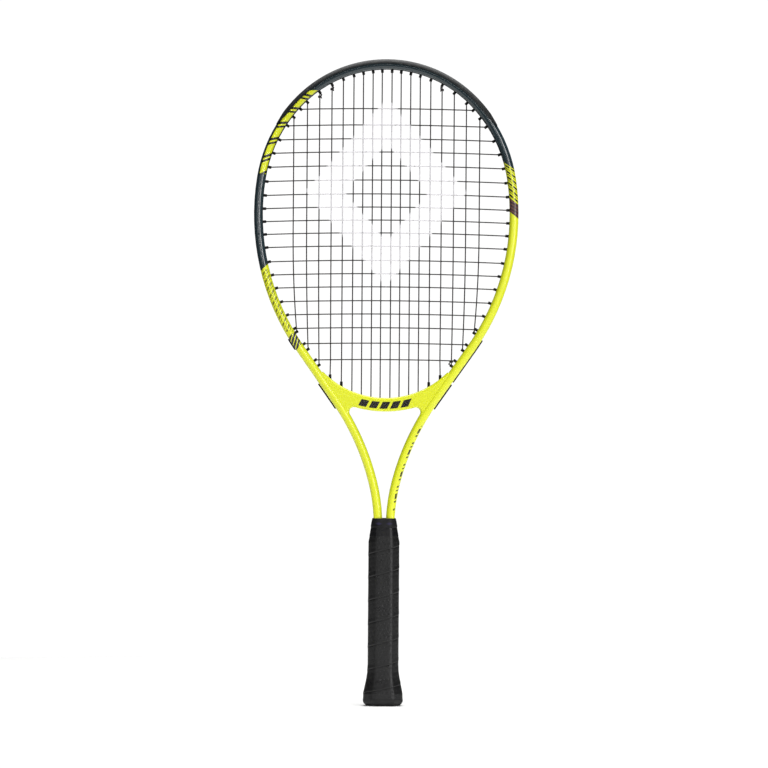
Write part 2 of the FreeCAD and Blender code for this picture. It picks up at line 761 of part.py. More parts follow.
def yoke_blank():
    """Yoke outline run through the face, still overlapping the tube at both ends."""
    half_depth = dim("yoke_depth") / 2
    corner = dim("yoke_corner")
    lower_centre = Vector(0, 0, LOWER_CENTRE)
    fillet_station = bisect(
        lambda s: (at(s, -HALF_WIDTH - corner) - lower_centre).Length - LOWER_RADIUS - corner,
        STARTS[3], STARTS[4] + 40)
    fillet_centre = at(fillet_station, -HALF_WIDTH - corner)
    on_tube = at(fillet_station, -HALF_WIDTH)
    on_yoke = lower_centre + (fillet_centre - lower_centre).normalize() * LOWER_RADIUS
    towards_corner = (on_tube - fillet_centre + on_yoke - fillet_centre).normalize()
    fillet_middle = fillet_centre + towards_corner * corner
    wing = Vector(dim("yoke_wing"), 0, yoke_edge(dim("yoke_wing")))
    wing_station = bisect(lambda s: locate(s)[2].dot(wing - locate(s)[0]), WIDEST, SHOULDER_END)
    inside = [at(station, 0) for station in (wing_station, (wing_station + fillet_station) / 2,
                                             fillet_station)]

    def flip(point):
        return Vector(-point.x, point.y, point.z)

    def segment(first, second):
        return Part.LineSegment(first, second).toShape()

    edges = [Part.Arc(flip(wing), Vector(0, 0, dim("yoke_top")), wing).toShape()]
    outline = [wing] + inside + [on_tube]
    for first, second in zip(outline, outline[1:]):
        edges.append(segment(first, second))
        edges.append(segment(flip(first), flip(second)))
    edges.append(Part.Arc(on_tube, fillet_middle, on_yoke).toShape())
    edges.append(Part.Arc(flip(on_tube), flip(fillet_middle), flip(on_yoke)).toShape())
    edges.append(Part.Arc(on_yoke, Vector(0, 0, dim("yoke_bottom")), flip(on_yoke)).toShape())
    face = Part.Face(Part.Wire(Part.__sortEdges__(edges)))
    face.translate(ACROSS_FACE * -half_depth)
    solid = face.extrude(ACROSS_FACE * 2 * half_depth)
    rims = [edge for edge in solid.Edges if is_long_arc(edge)]
    return solid.makeFillet(YOKE_RIM, rims)


def is_long_arc(edge):
    if not isinstance(edge.Curve, Part.Circle):
        return False
    return edge.Curve.Radius > 50


def yoke_ring(inner_level, outer_level, half_width, half_angle):
    """Band that follows the yoke's lower face, between two levels outward of that face."""
    face = block(LOWER_RADIUS + inner_level, LOWER_RADIUS + outer_level, -half_width, half_width)
    face.Placement = Placement(Vector(0, 0, LOWER_CENTRE), Rotation(ACROSS_FACE, 90 - half_angle))
    return face.revolve(Vector(0, 0, LOWER_CENTRE), ACROSS_FACE, 2 * half_angle)


def throat_bores(radius, low, high):
    """Upright holes of the throat mains on both sides, from a height to past the upper edge."""
    bores = []
    for main in range(THROAT_MAINS):
        x = MAIN_OFFSETS[main]
        bore = rod(Vector(x, STAGGER, low), Vector(x, STAGGER, yoke_edge(x) + high), radius)
        bores += [bore, turned(bore)]
    return bores


THROAT_STRIP_ANGLE = math.degrees(math.asin((MAIN_OFFSETS[THROAT_MAINS - 1] + 3.2) / LOWER_RADIUS))


def make_throat_yoke():
    envelope = sweep(envelope_section(), STARTS[3] - 30, STARTS[5])
    groove = yoke_ring(-dim("groove_depth"), 5.0, dim("groove_width") / 2, THROAT_STRIP_ANGLE)
    holes = throat_bores(dim("barrel_radius") + BARREL_PLAY, dim("yoke_bottom"), 2.0)
    for main in range(THROAT_MAINS, WING_MAINS):
        hole = wing_hole(main)
        holes += [hole, turned(hole)]
    solid = yoke_blank().cut(envelope).cut(mirror(envelope)).cut(groove)
    return add_feature("throat_yoke", solid.cut(Part.Compound(holes)))


def make_throat_strip():
    floor = -dim("groove_depth")
    base = yoke_ring(floor, 0.0, dim("groove_width") / 2, THROAT_STRIP_ANGLE)
    channel = yoke_ring(floor + dim("strip_base"), 5.0, dim("channel_width") / 2, THROAT_STRIP_ANGLE + 1)
    barrels = []
    for main in range(THROAT_MAINS):
        x = MAIN_OFFSETS[main]
        foot = Vector(x, STAGGER, yoke_channel(x, floor + 0.3))
        barrel = rod(foot, Vector(x, STAGGER, yoke_edge(x) - 0.4), dim("barrel_radius"))
        barrels += [barrel, turned(barrel)]
    solid = fuse([base.cut(channel)] + barrels)
    bores = throat_bores(dim("bore_radius"), dim("yoke_bottom") - 1, 2.0)
    return add_feature("throat_grommet_strip", solid.cut(Part.Compound(bores)))


# ---------------------------------------------------------------- strings and knots

def make_main_string():
    right = right_mains()
    left = half_turn(right)
    return add_feature("main_string", pipe(left[::-1] + right, STRING))


def make_cross_string():
    return add_feature("cross_string", pipe(cross_route(), STRING))


RING_PLAY = 0.06                            # between a knot's rings and the string they grip
RING_PITCH = 1.8 * STRING
FIRST_RING = 4.2                            # from the string's turn to a knot's first ring
KNOT_LEAD = STRING - 0.05                   # radius of a knot's lead and tail, sunk in its rings


def knot(station, anchor, next_corner, rings):
    """Half hitches round an anchor string: rings, a lead from the string's end and a cut tail."""
    string_end = at(station, STRING_END, -STAGGER)
    direction = (next_corner - anchor).normalize()
    ring_radius = 2 * STRING + RING_PLAY
    side = string_end - anchor
    side = (side - direction * side.dot(direction)).normalize()
    centres = [anchor + direction * (FIRST_RING + index * RING_PITCH) for index in range(rings)]
    pieces = [Part.makeTorus(ring_radius, STRING, centre, direction) for centre in centres]
    straight_on = at(station, STRING_END - 1.0, -STAGGER)
    pieces.append(rod(string_end, straight_on, STRING))
    pieces.append(capsule(straight_on, centres[0] + side * ring_radius, KNOT_LEAD))
    last = centres[-1] + side * ring_radius
    pieces.append(capsule(last, last + side * 1.6 + direction * 0.8, KNOT_LEAD))
    passage = rod(anchor - direction * 2, anchor + direction * 12, STRING + RING_PLAY / 2)
    return fuse(pieces).cut(passage)


def make_knots():
    top_corner = [at(station, STRING_BEND, STAGGER) for station in TOP]
    main_tie = knot(TOP[MAIN_KNOT], top_corner[MAIN_KNOT], main_crossings(MAIN_KNOT)[0][0], 2)
    start_tie = knot(TOP[CROSS_START_KNOT], top_corner[CROSS_START_KNOT],
                     main_crossings(CROSS_START_KNOT)[0][0], 2)
    end_tie = knot(BOTTOM[CROSS_END_KNOT], main_turn(CROSS_END_KNOT),
                   main_crossings(CROSS_END_KNOT)[-1][0], 1)
    end_tie = end_tie.cut(pipe(cross_corners(CROSSES - 1)[:3], STRING + RING_PLAY / 2))
    return [add_feature("main_knot_right", main_tie),
            add_feature("main_knot_left", turned(main_tie)),
            add_feature("cross_start_knot", turned(start_tie)),
            add_feature("cross_end_knot", end_tie)]


# ---------------------------------------------------------------- handle, as PartDesign bodies

def origin_plane(body, role):
    return next(item for item in body.Origin.OriginFeatures if item.Role == role)


def octagon_sketch(body, name, height, width, depth, bevel):
    """Octagon on the body's XY plane at a height; every size is an expression."""
    sketch = body.newObject("Sketcher::SketchObject", name)
    sketch.AttachmentSupport = [(origin_plane(body, "XY_Plane"), "")]
    sketch.MapMode = "FlatFace"
    sketch.setExpression("AttachmentOffset.Base.z", height)
    corners = []
    for sign_x, sign_y in ((1, 1), (-1, 1), (-1, -1), (1, -1)):
        side = (f"{sign_x} * ({width}) / 2", f"{sign_y} * (({depth}) / 2 - ({bevel}))")
        face = (f"{sign_x} * (({width}) / 2 - ({bevel}))", f"{sign_y} * ({depth}) / 2")
        corners += [side, face] if sign_x == sign_y else [face, side]
    count = len(corners)
    step = 360 / count
    start = [Rotation(UP, step * (i + 0.5)).multVec(Vector(20, 0, 0)) for i in range(count)]
    for index in range(count):
        sketch.addGeometry(Part.LineSegment(start[index], start[(index + 1) % count]))
    for index in range(count):
        sketch.addConstraint(Sketcher.Constraint("Coincident", index, 2, (index + 1) % count, 1))
    for index, (x, y) in enumerate(corners):
        across = sketch.addConstraint(Sketcher.Constraint("DistanceX", -1, 1, index, 1, start[index].x))
        along = sketch.addConstraint(Sketcher.Constraint("DistanceY", -1, 1, index, 1, start[index].y))
        sketch.setExpression(f"Constraints[{across}]", x)
        sketch.setExpression(f"Constraints[{along}]", y)
    return sketch


def octagon_loft(label, sections):
    """Body lofted through octagons given as (height, width, depth, bevel) expressions."""
    body = doc.addObject("PartDesign::Body", label)
    body.Label = label
    sketches = [octagon_sketch(body, f"{label}_section", *section) for section in sections]
    loft = body.newObject("PartDesign::AdditiveLoft", f"{label}_loft")
    loft.Profile = sketches[0]
    loft.Sections = sketches[1:]
    loft.Ruled = True
    body.Tip = loft
    return body


def handle_section(height, flare, inset):
    """Octagon of the wrapped grip at a height, less an inset on every side."""
    width = f"dims.grip_width + {flare} * dims.butt_flare - 2 * ({inset})"
    depth = f"dims.grip_depth + {flare} * dims.butt_flare - 2 * ({inset})"
    bevel = f"dims.grip_bevel + {flare} * dims.flare_bevel - {BEVEL_SHRINK} * ({inset})"
    return (height, width, depth, bevel)


def shaft_section(height, growth):
    """Octagon round the two tube legs, where the handle runs out."""
    width = f"2 * dims.leg_offset + dims.tube_width + 2 * ({growth})"
    depth = f"dims.tube_depth + 2 * ({growth})"
    return (height, width, depth, f"dims.leg_bevel + {BEVEL_SHRINK} * ({growth})")


def cylinder(label, radius, height, base):
    item = doc.addObject("Part::Cylinder", label)
    item.setExpression("Radius", radius)
    item.setExpression("Height", height)
    item.Placement.Base = base
    return item


def boolean(kind, label, base, tool):
    item = doc.addObject(f"Part::{kind}", label)
    item.Label = label
    item.Base = base
    item.Tool = tool
    return item


def grip_solid(label, growth):
    """The wrapped handle as one solid, its surface moved out by a growth."""
    sections = [handle_section(str(z), share, f"-({growth})") for z, share in FLARE]
    sections.append(handle_section("dims.grip_shoulder", 0, f"-({growth})"))
    sections.append(shaft_section("dims.grip_top", f"dims.grip_wall + dims.leg_cover + {growth}"))
    return octagon_loft(label, sections)


def pallet_solid(label):
    """Both handle halves and the room for the tube legs, as one solid."""
    sections = [handle_section("dims.cap_floor", 0, "dims.grip_wall"),
                handle_section("dims.grip_shoulder", 0, "dims.grip_wall"),
                shaft_section("dims.grip_top", "dims.leg_cover")]
    return octagon_loft(label, sections)


def cap_solid(label):
    """Butt cap's outer form: a rounded rim below the flared skirt that the grip covers."""
    rim = octagon_loft(label + "_rim", [handle_section(str(z), share, "0") for z, share in BUTT_RIM])
    skirt_sections = [handle_section(str(z), share, "dims.grip_wall") for z, share in FLARE[:5]]
    skirt = octagon_loft(label + "_skirt", skirt_sections)
    return boolean("Fuse", label, rim, skirt)


def staple(label, size, placement):
    """Wire staple: a crown along X with two legs driven towards -Y, then placed."""
    crown, leg = size
    body = doc.addObject("PartDesign::Body", label)
    body.Label = label
    path = body.newObject("Sketcher::SketchObject", f"{label}_path")
    path.AttachmentSupport = [(origin_plane(body, "XY_Plane"), "")]
    path.MapMode = "FlatFace"
    half = crown / 2
    corners = [Vector(-half, -leg, 0), Vector(-half, 0, 0), Vector(half, 0, 0), Vector(half, -leg, 0)]
    for first, second in zip(corners, corners[1:]):
        path.addGeometry(Part.LineSegment(first, second))
    path.addConstraint(Sketcher.Constraint("Coincident", 0, 2, 1, 1))
    path.addConstraint(Sketcher.Constraint("Coincident", 1, 2, 2, 1))
    wire = body.newObject("Sketcher::SketchObject", f"{label}_wire")
    wire.AttachmentSupport = [(origin_plane(body, "XZ_Plane"), "")]
    wire.MapMode = "FlatFace"
    wire.AttachmentOffset = Placement(Vector(0, 0, leg), Rotation())
    wire.addGeometry(Part.Circle(Vector(-half, 0, 0), UP, STAPLE_WIRE))
    sweep_feature = body.newObject("PartDesign::AdditivePipe", f"{label}_sweep")
    sweep_feature.Profile = wire
    sweep_feature.Spine = path
    sweep_feature.Transition = 1
    body.Tip = sweep_feature
    body.Placement = placement
    return body


def make_handle():
    doc.recompute()
    legs = add_feature("leg_envelope", both_sides(sweep(envelope_section(), STARTS[5], HALF_LENGTH)))
    cap_staples = make_cap_staples()
    grip_tack = make_grip_tack()
    metal = doc.addObject("Part::MultiFuse", "handle_metal")
    metal.Shapes = [cap_staples, grip_tack]
    pallets = pallet_solid("pallet_form")
    nodes = [cap_staples, grip_tack]
    for name, turn in (("handle_pallet_front", 0), ("handle_pallet_back", 180)):
        half = doc.addObject("Part::Box", f"{name}_half")
        half.Length = 2 * BEYOND_HANDLE
        half.Width = BEYOND_HANDLE
        half.setExpression("Height", "dims.collar_top")
        corner = Rotation(UP, turn).multVec(Vector(-BEYOND_HANDLE, -BEYOND_HANDLE, 0))
        half.Placement = Placement(corner, Rotation(UP, turn))
        blank = boolean("Common", f"{name}_blank", pallets, half)
        legless = boolean("Cut", f"{name}_legless", blank, legs)
        nodes.append(boolean("Cut", name, legless, metal))
    cap_outer = cap_solid("cap_form")
    recess = cylinder("cap_recess", "dims.badge_radius", "dims.badge_thickness", Vector(0, 0, 0))
    cap_hollow = boolean("Cut", "cap_hollow", cap_outer, pallets)
    cap_recessed = boolean("Cut", "cap_recessed", cap_hollow, recess)
    nodes.append(boolean("Cut", "butt_cap", cap_recessed, metal))
    nodes.append(make_badge())
    grip_form = grip_solid("grip_form", "0")
    under = doc.addObject("Part::MultiFuse", "under_grip")
    under.Shapes = [cap_outer, pallets, legs, metal]
    nodes.append(boolean("Cut", "base_grip", grip_form, under))
    nodes.append(make_tape(grip_form))
    nodes.append(make_collar(legs))
    return nodes


def make_cap_staples():
    """Two staples that hold the cap's skirt to the pallets, below the ends of the tube legs."""
    front_place = Vector(0, -CAP_STAPLE_DEPTH, CAP_STAPLE_HEIGHT)
    back_place = Vector(0, CAP_STAPLE_DEPTH, CAP_STAPLE_HEIGHT)
    front = staple("staple_front", CAP_STAPLE, Placement(front_place, Rotation(UP, 180)))
    back = staple("staple_back", CAP_STAPLE, Placement(back_place, Rotation()))
    pair = doc.addObject("Part::MultiFuse", "cap_staples")
    pair.Label = "cap_staples"
    pair.Shapes = [front, back]
    return pair


def make_grip_tack():
    """Small staple that pins the start of the grip strip to the cap."""
    return staple("grip_tack", GRIP_TACK, Placement(TACK_PLACE, Rotation(UP, -90)))


def make_badge():
    body = doc.addObject("PartDesign::Body", "butt_badge")
    body.Label = "butt_badge"
    disc = body.newObject("Sketcher::SketchObject", "badge_disc")
    disc.AttachmentSupport = [(origin_plane(body, "XY_Plane"), "")]
    disc.MapMode = "FlatFace"
    disc.addGeometry(Part.Circle(Vector(0, 0, 0), UP, 10))
    disc.addConstraint(Sketcher.Constraint("Coincident", 0, 3, -1, 1))
    radius = disc.addConstraint(Sketcher.Constraint("Radius", 0, 10))
    disc.setExpression(f"Constraints[{radius}]", "dims.badge_radius - 0.05")
    pad = body.newObject("PartDesign::Pad", "badge_pad")
    pad.Profile = disc
    pad.setExpression("Length", "dims.badge_thickness")
    body.Tip = pad
    return body


def make_tape(grip_form):
    """Thin adhesive tape round the grip's upper end."""
    wide = grip_solid("tape_form", "dims.tape_thickness")
    band = doc.addObject("Part::Box", "tape_band")
    band.Length = 2 * BEYOND_HANDLE
    band.Width = 2 * BEYOND_HANDLE
    band.setExpression("Height", "dims.grip_top - dims.tape_bottom")
    band.Placement.Base = Vector(-BEYOND_HANDLE, -BEYOND_HANDLE, dim("tape_bottom"))
    ring = boolean("Common", "tape_ring", wide, band)
    return boolean("Cut", "finishing_tape", ring, grip_form)


def make_collar(legs):
    """Stretchy collar round both tube legs, over the top of the wrap."""
    sections = [shaft_section(f"dims.grip_top + {rise}", str(growth)) for rise, growth in COLLAR_FORM]
    outer = octagon_loft("collar_form", sections)
    inner = octagon_loft("collar_passage", [shaft_section("dims.grip_top - 1", "dims.collar_fit"),
                                            shaft_section("dims.collar_top + 1", "dims.collar_fit")])
    hollow = boolean("Cut", "collar_hollow", outer, inner)
    return boolean("Cut", "grip_collar", hollow, legs)


# ---------------------------------------------------------------- build, check and write


def check_and_write(nodes):
    for item in doc.Objects:
        if "Invalid" in item.State or "Error" in item.State:
            raise RuntimeError(f"{item.Label} failed: {item.State}")
    for node in nodes:
        shape = node.Shape
        if shape.isNull() or not shape.isValid() or shape.Volume <= 0:
            raise RuntimeError(f"{node.Label} has no valid solid")
        shape.exportStep(f"parts/{node.Label}.step")
        print(node.Label, "solids", len(shape.Solids), "volume", round(shape.Volume, 1))


def build():
    nodes = [make_frame_tube(), make_bumper_guard()]
    for side in ("right", "left"):
        nodes.append(make_grommet_strip(side))
        nodes.append(make_shoulder_grommet(side))
    nodes += [make_throat_yoke(), make_throat_strip(), make_main_string(), make_cross_string()]
    nodes += make_knots()
    nodes += make_handle()
    doc.recompute()
    check_and_write(nodes)


build()
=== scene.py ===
"""Looks, light and camera for the tennis racket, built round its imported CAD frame."""
import math

import bmesh
import bpy
from mathutils import Matrix, Vector


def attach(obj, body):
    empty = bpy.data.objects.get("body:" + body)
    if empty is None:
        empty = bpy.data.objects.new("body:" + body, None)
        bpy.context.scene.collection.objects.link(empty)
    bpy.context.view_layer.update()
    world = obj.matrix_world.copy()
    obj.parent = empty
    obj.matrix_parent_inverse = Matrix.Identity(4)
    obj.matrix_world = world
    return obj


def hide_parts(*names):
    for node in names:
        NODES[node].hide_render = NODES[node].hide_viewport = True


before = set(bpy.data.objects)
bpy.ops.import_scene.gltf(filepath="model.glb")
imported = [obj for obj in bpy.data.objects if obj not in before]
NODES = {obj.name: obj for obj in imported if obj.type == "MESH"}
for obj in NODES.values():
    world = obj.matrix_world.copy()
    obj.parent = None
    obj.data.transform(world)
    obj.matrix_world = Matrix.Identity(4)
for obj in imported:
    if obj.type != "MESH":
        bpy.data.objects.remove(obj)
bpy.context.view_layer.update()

MM = 0.001


# ---------------------------------------------------------------- node graphs


def linear(code):
    """Linear RGBA of a colour written as rrggbb."""
    channels = [int(code[i:i + 2], 16) / 255 for i in (0, 2, 4)]
    return [c / 12.92 if c <= 0.04045 else ((c + 0.055) / 1.055) ** 2.4 for c in channels] + [1.0]


class Value:
    """An output socket that can be added, multiplied and compared like a number."""

    def __init__(self, graph, socket):
        self.graph = graph
        self.socket = socket

    def __add__(self, other):
        return self.graph.math("ADD", self, other)

    def __sub__(self, other):
        return self.graph.math("SUBTRACT", self, other)

    def __rsub__(self, other):
        return self.graph.math("SUBTRACT", other, self)

    def __mul__(self, other):
        return self.graph.math("MULTIPLY", self, other)

    def __truediv__(self, other):
        return self.graph.math("DIVIDE", self, other)

    __radd__ = __add__
    __rmul__ = __mul__

    def fract(self):
        return self.graph.math("FRACT", self)

    def size(self):
        return self.graph.math("ABSOLUTE", self)

    def above(self, level, soft):
        """0 below a level and 1 above it, with a soft edge that wide."""
        return self.graph.math("MULTIPLY_ADD", self - level, 1 / soft, 0.5, clamp=True)

    def below(self, level, soft):
        return 1.0 - self.above(level, soft)

    def between(self, low, high, soft):
        return self.above(low, soft) * self.below(high, soft)


class Graph:
    """One material's nodes."""

    def __init__(self, name):
        self.material = bpy.data.materials.new(name)
        self.material.use_nodes = True
        self.tree = self.material.node_tree
        self.shader = self.tree.nodes["Principled BSDF"]
        self.coordinates = self.tree.nodes.new("ShaderNodeTexCoord")
        self.place = self.coordinates.outputs["Object"]
        split = self.tree.nodes.new("ShaderNodeSeparateXYZ")
        self.tree.links.new(self.place, split.inputs[0])
        self.x, self.y, self.z = (Value(self, split.outputs[i]) for i in range(3))

    def put(self, socket, value):
        if isinstance(value, Value):
            self.tree.links.new(value.socket, socket)
        elif isinstance(value, str):
            socket.default_value = linear(value)
        else:
            socket.default_value = value

    def math(self, operation, first, second=None, third=None, clamp=False):
        node = self.tree.nodes.new("ShaderNodeMath")
        node.operation = operation
        node.use_clamp = clamp
        for socket, value in zip(node.inputs, (first, second, third)):
            if value is not None:
                self.put(socket, value)
        return Value(self, node.outputs[0])

    def normal(self):
        split = self.tree.nodes.new("ShaderNodeSeparateXYZ")
        self.tree.links.new(self.coordinates.outputs["Normal"], split.inputs[0])
        return [Value(self, split.outputs[i]) for i in range(3)]

    def stretched(self, scale):
        """The place, scaled by a different amount along each axis."""
        node = self.tree.nodes.new("ShaderNodeMapping")
        self.tree.links.new(self.place, node.inputs["Vector"])
        node.inputs["Scale"].default_value = scale
        return node.outputs[0]

    def noise(self, scale, detail=3.0, stretch=None):
        """Fractal noise about 0.5, with features a metre over scale wide."""
        node = self.tree.nodes.new("ShaderNodeTexNoise")
        place = self.stretched(stretch) if stretch else self.place
        self.tree.links.new(place, node.inputs["Vector"])
        node.inputs["Scale"].default_value = scale
        node.inputs["Detail"].default_value = detail
        return Value(self, node.outputs["Fac"])

    def cells(self, scale):
        node = self.tree.nodes.new("ShaderNodeTexVoronoi")
        self.tree.links.new(self.place, node.inputs["Vector"])
        node.inputs["Scale"].default_value = scale
        return Value(self, node.outputs["Distance"])

    def mix(self, share, first, second):
        node = self.tree.nodes.new("ShaderNodeMix")
        node.data_type = "RGBA"
        self.put(node.inputs[0], share)
        self.put(node.inputs[6], first)
        self.put(node.inputs[7], second)
        return Value(self, node.outputs[2])

    def arc(self, centre, radius):
        """Distance along an arc from its top, and distance outside it; both sides count as one."""
        across = self.x.size() - centre[0] * MM
        up = self.z - centre[1] * MM
        reach = self.math("SQRT", across * across + up * up)
        return self.math("ARCTAN2", across, up) * (radius * MM), reach - radius * MM

    def finish(self, colour, roughness, bump=None, depth=0.0001, metallic=0.0, **uniform):
        """Links the shader up; uniform values go straight on its sockets."""
        self.put(self.shader.inputs["Base Color"], colour)
        self.put(self.shader.inputs["Roughness"], roughness)
        self.put(self.shader.inputs["Metallic"], metallic)
        for name, value in uniform.items():
            title = name.replace("_", " ").title().replace("Ior", "IOR")
            self.shader.inputs[title].default_value = value
        if bump is not None:
            node = self.tree.nodes.new("ShaderNodeBump")
            node.inputs["Distance"].default_value = depth
            self.put(node.inputs["Height"], bump)
            self.tree.links.new(node.outputs[0], self.shader.inputs["Normal"])
        return self.material


# ---------------------------------------------------------------- paint and its graphics

# Darker olive yellow, painted on as shade where a surface faces the inside of the hoop or the gap
# between the legs.
YELLOW_PAINTED_SHADE = "b3bd16"
INK = "14120f"

UPPER_ARC = ((-15.1, 536.6), 149.6)     # where the hoop turns down to its sides
SIDE_ARC = ((-112.6, 521.5), 248.3)     # the hoop's long sides
LEG_ARC = ((269.7, 171.3), 265.7)       # the legs' inward sweep under the yoke
SHAFT_ARC = ((196.5, 190.4), 190.1)     # and where they straighten above the handle
YOKE_ARC = ((0, 427), 115)              # the yoke's lower edge
EDGE = 0.35 * MM                        # softness of a painted edge
FACE_DEPTH = 6.5 * MM                   # the marks lie beyond this far from the mid plane
LEG_FACE_DEPTH = 4.5 * MM               # and those of the leg beyond this far
SIDE_SLANT = 0.8                        # slant of the edges across the long sides
ROW_GAP = 0.55 * MM                     # half the gap between two rows of bars
HOOP_CENTRE = 500 * MM
LEG_TOP = 360 * MM

# Each decoration's heights, in millimetres, and its bars: pitch, slant and spans as shares of it.
LEFT_GREY, RIGHT_GREY = 464, 573        # the head is grey above these
UPPER_BAND, UPPER_BARS = (563, 652), (19.5, 0.75, ((0.0, 0.6), (0.76, 0.87)))
UPPER_BAND_LIMITS, UPPER_BAR_LIMITS = (-5.2, 2.9), (-4.1, 2.3)      # how far out from the arc
LOWER_BAND, LOWER_BARS = (396, 462), (8.2, 0.9, ((0.0, 0.34), (0.55, 0.68)))
LOWER_BAND_LIMITS = (-3.6, 3.4)
STRIPE_BAND, STRIPE_BARS = (380, 393), (4.4, 0.9, ((0.0, 0.72),))
DASH_BAND, DASH_BARS = (537, 573), (6.4, 1.0, ((0.0, 0.38), (0.58, 0.7)))
DASH_LIMITS = (0.5, 4.2)
PLUM_BAND, PLUM_BARS = (521, 536), (3.7, 0.6, ((0.0, 0.6),))
LEG_BAND = (205, 297)
LEG_BARS = (25.0, 0.7, ((0.0, 0.08), (0.16, 0.4), (0.5, 0.56), (0.66, 0.74)))
LEG_LIMITS = (2.2, 4.0)
ARC_CHANGE = 238                        # where the leg's marks pass from one arc to the other
BARREL_SPREAD = 2.45 * MM               # from the mid plane to the far side of a string's barrel
YOKE_MARKS = 5                          # slanted marks on the yoke
YOKE_MARK_PITCH = 11.2
YOKE_MARK_SHARE = (0.13, 0.87)          # the part of a pitch that a mark fills
YOKE_MARK_MIDDLE = 6.7                  # how far they lie above its lower edge
YOKE_MARK_LIMITS = (3.0, 10.4)          # and from where to where
YOKE_FACE = 8.6 * MM                    # the marks lie beyond this far from the middle
STENCIL_MIDDLE = 545 * MM               # height of the ring on the strings
STENCIL_REACH = (86 * MM, 100 * MM)     # half its width and half its height
STENCIL_HOLE = 0.52                     # share of it that its hollow middle takes
SCUFF_START = 640 * MM                  # the guard is scuffed above this height


def inner_painted_shade(graph):
    """Mask for painted shade on the inner sides: 1 where the surface faces the inside of the hoop
    or the gap between the legs.
    """
    nx, _, nz = graph.normal()
    side = graph.math("SIGN", graph.x)
    up = graph.z - HOOP_CENTRE
    reach = graph.math("SQRT", graph.x * graph.x + up * up)
    hoop = (nx * graph.x + nz * up) / reach
    leg = nx * side
    share = graph.z.above(LEG_TOP, 30 * MM)
    facing = hoop * share + leg * (1.0 - share)
    return (0.0 - facing).above(0.45, 0.7)


def bars(along, across, pitch, slant, spans):
    """Slanted bars that repeat along a band: spans are shares of the pitch."""
    phase = ((along - across * slant) / (pitch * MM)).fract()
    soft = EDGE / (pitch * MM)
    total = None
    for low, high in spans:
        bar = phase.between(low, high, soft)
        total = bar if total is None else total + bar
    return total


def tube_paint():
    """Gloss paint: grey head, bright yellow below with painted shade on its inner sides, and plain
    slanted bars as decoration.
    """
    g = Graph("frame_gloss_paint")
    left = g.x.below(0, EDGE)
    right = 1.0 - left
    face = g.y.size().above(FACE_DEPTH, 2 * MM)
    upper_along, upper_out = g.arc(*UPPER_ARC)
    side_along, side_out = g.arc(*SIDE_ARC)

    mottle = g.noise(38, 4) * 0.5 + g.noise(900, 2) * 0.5
    grey = g.mix(mottle, "1b272c", "29393f")
    yellow = g.mix(mottle, "e2e91c", "eff52c")
    # Painted shade: the yellow turns olive where the tube faces the inside of the hoop or the gap
    # between the legs.
    yellow = g.mix(inner_painted_shade(g) * 0.55, yellow, YELLOW_PAINTED_SHADE)

    def span(value, limits):
        return value.between(limits[0] * MM, limits[1] * MM, EDGE)

    level = g.z + side_out * SIDE_SLANT
    grey_left = left * level.above(LEFT_GREY * MM, EDGE)
    grey_right = right * level.above(RIGHT_GREY * MM, EDGE)
    painted_grey = grey_left + grey_right
    colour = g.mix(painted_grey, yellow, grey)

    band = left * face * span(g.z, UPPER_BAND) * span(upper_out, UPPER_BAND_LIMITS)
    colour = g.mix(band, colour, INK)
    blocks = bars(upper_along, upper_out, *UPPER_BARS) * span(upper_out, UPPER_BAR_LIMITS)
    colour = g.mix(band * blocks, colour, yellow)

    band = left * face * span(g.z, LOWER_BAND) * span(side_out, LOWER_BAND_LIMITS)
    rows = side_out.size().above(ROW_GAP, EDGE)
    colour = g.mix(band * rows * bars(side_along, side_out, *LOWER_BARS) * 0.8, colour, "4c4a1a")
    band = left * face * span(level, STRIPE_BAND)
    colour = g.mix(band * bars(side_along, side_out, *STRIPE_BARS), colour, "2c2a33")

    band = right * face * span(level, DASH_BAND) * span(side_out.size(), DASH_LIMITS)
    colour = g.mix(band * bars(side_along, side_out, *DASH_BARS), colour, INK)
    plum = g.mix(bars(side_along, side_out, *PLUM_BARS), "6d4a3c", "3b2530")
    colour = g.mix(right * face * span(level, PLUM_BAND), colour, plum)

    leg_along, leg_in = g.arc(*LEG_ARC)
    shaft_along, shaft_in = g.arc(*SHAFT_ARC)
    high = g.z.above(ARC_CHANGE * MM, EDGE)
    along = leg_along * high + shaft_along * (1.0 - high)
    out = 0.0 - (leg_in * high + shaft_in * (1.0 - high))
    face = g.y.size().above(LEG_FACE_DEPTH, EDGE)
    band = right * face * span(out, LEG_LIMITS) * span(g.z, LEG_BAND)
    colour = g.mix(band * bars(along, out, *LEG_BARS), colour, INK)

    scuff = g.noise(210, 6, (1, 1, 0.35)).above(0.72, 0.05)
    colour = g.mix(scuff * 0.12, colour, "8d8f86")
    peel = g.noise(650, 2)
    roughness = g.noise(60, 4) * 0.10 + scuff * 0.2 + 0.39 - painted_grey * 0.2
    return g.finish(colour, roughness, peel, 0.00002, coat_weight=0.35, coat_roughness=0.1)


